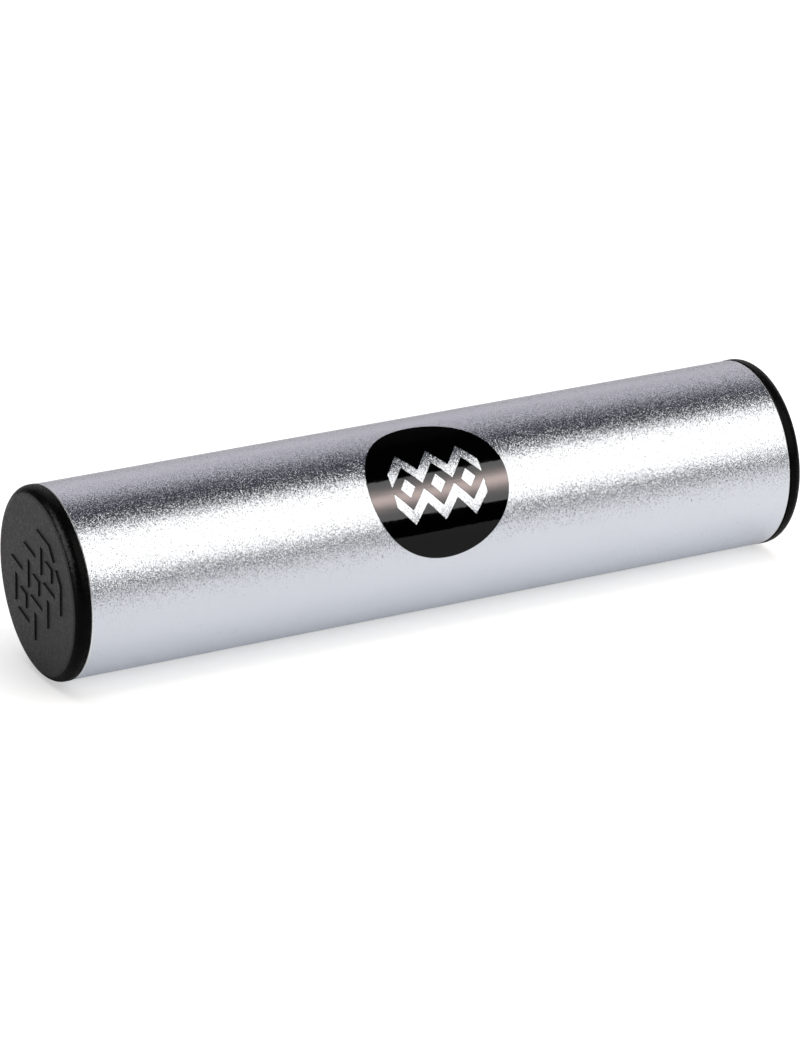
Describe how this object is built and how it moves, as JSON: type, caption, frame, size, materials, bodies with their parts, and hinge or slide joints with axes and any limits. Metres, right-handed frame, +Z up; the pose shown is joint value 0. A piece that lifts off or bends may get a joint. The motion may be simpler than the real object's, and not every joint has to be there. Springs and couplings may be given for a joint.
{
  "type": "percussion shaker",
  "caption": "Tube shaker for hand percussion: blasted aluminium tube, two black plastic end caps, a round film label, and loose steel shot that slides and swirls inside.",
  "frame": {"origin": "on the surface that the shaker lies on, under the middle of the tube (bottom centre of the bounding box)", "axes": "+X along the tube towards the right cap, +Z up, -Y towards the side that carries the label"},
  "size_m": [0.2108, 0.0502, 0.0503],
  "materials": {
    "tube_metal": "bead-blasted and anodised, silver with a fine sparkling grain",
    "cap_plastic": "moulded black with a fine spark-eroded texture, satin on the raised ornament",
    "label_film": "glossy black film",
    "shot_steel": "bright steel balls, lightly burnished"
  },
  "bodies": {
    "shell": {"tube_shell": "tube_metal", "left_end_cap": "cap_plastic", "right_end_cap": "cap_plastic", "round_label": "label_film"},
    "shot_row_c": {"steel_ball_c01": "shot_steel", "steel_ball_c02": "shot_steel", "steel_ball_c03": "shot_steel", "steel_ball_c04": "shot_steel", "steel_ball_c05": "shot_steel", "steel_ball_c06": "shot_steel", "steel_ball_c07": "shot_steel", "steel_ball_c08": "shot_steel", "steel_ball_c09": "shot_steel", "steel_ball_c10": "shot_steel"},
    "shot_row_a": {"steel_ball_a01": "shot_steel", "steel_ball_a02": "shot_steel", "steel_ball_a03": "shot_steel", "steel_ball_a04": "shot_steel", "steel_ball_a05": "shot_steel", "steel_ball_a06": "shot_steel", "steel_ball_a07": "shot_steel", "steel_ball_a08": "shot_steel", "steel_ball_a09": "shot_steel", "steel_ball_a10": "shot_steel"},
    "shot_row_b": {"steel_ball_b01": "shot_steel", "steel_ball_b02": "shot_steel", "steel_ball_b03": "shot_steel", "steel_ball_b04": "shot_steel", "steel_ball_b05": "shot_steel", "steel_ball_b06": "shot_steel", "steel_ball_b07": "shot_steel", "steel_ball_b08": "shot_steel", "steel_ball_b09": "shot_steel", "steel_ball_b10": "shot_steel"},
    "shot_row_d": {"steel_ball_d01": "shot_steel", "steel_ball_d02": "shot_steel", "steel_ball_d03": "shot_steel", "steel_ball_d04": "shot_steel", "steel_ball_d05": "shot_steel", "steel_ball_d06": "shot_steel", "steel_ball_d07": "shot_steel", "steel_ball_d08": "shot_steel", "steel_ball_d09": "shot_steel", "steel_ball_d10": "shot_steel"},
    "shot_row_e": {"steel_ball_e01": "shot_steel", "steel_ball_e02": "shot_steel", "steel_ball_e03": "shot_steel", "steel_ball_e04": "shot_steel", "steel_ball_e05": "shot_steel", "steel_ball_e06": "shot_steel", "steel_ball_e07": "shot_steel", "steel_ball_e08": "shot_steel", "steel_ball_e09": "shot_steel", "steel_ball_e10": "shot_steel"}
  },
  "joints": [
    {"name": "shot_swirl", "type": "hinge", "parent": "shell", "child": "shot_row_c", "pos_m": [0, 0, 0.02513], "axis": [1, 0, 0], "continuous": true},
    {"name": "shot_row_a_slide", "type": "slide", "parent": "shot_row_c", "child": "shot_row_a", "axis": [1, 0, 0], "range_m": [-0.03326, 0.08554]},
    {"name": "shot_row_b_slide", "type": "slide", "parent": "shot_row_c", "child": "shot_row_b", "axis": [1, 0, 0], "range_m": [-0.07128, 0.04752]},
    {"name": "shot_row_d_slide", "type": "slide", "parent": "shot_row_c", "child": "shot_row_d", "axis": [1, 0, 0], "range_m": [-0.08316, 0.03564]},
    {"name": "shot_row_e_slide", "type": "slide", "parent": "shot_row_c", "child": "shot_row_e", "axis": [1, 0, 0], "range_m": [-0.04158, 0.07722]}
  ]
}
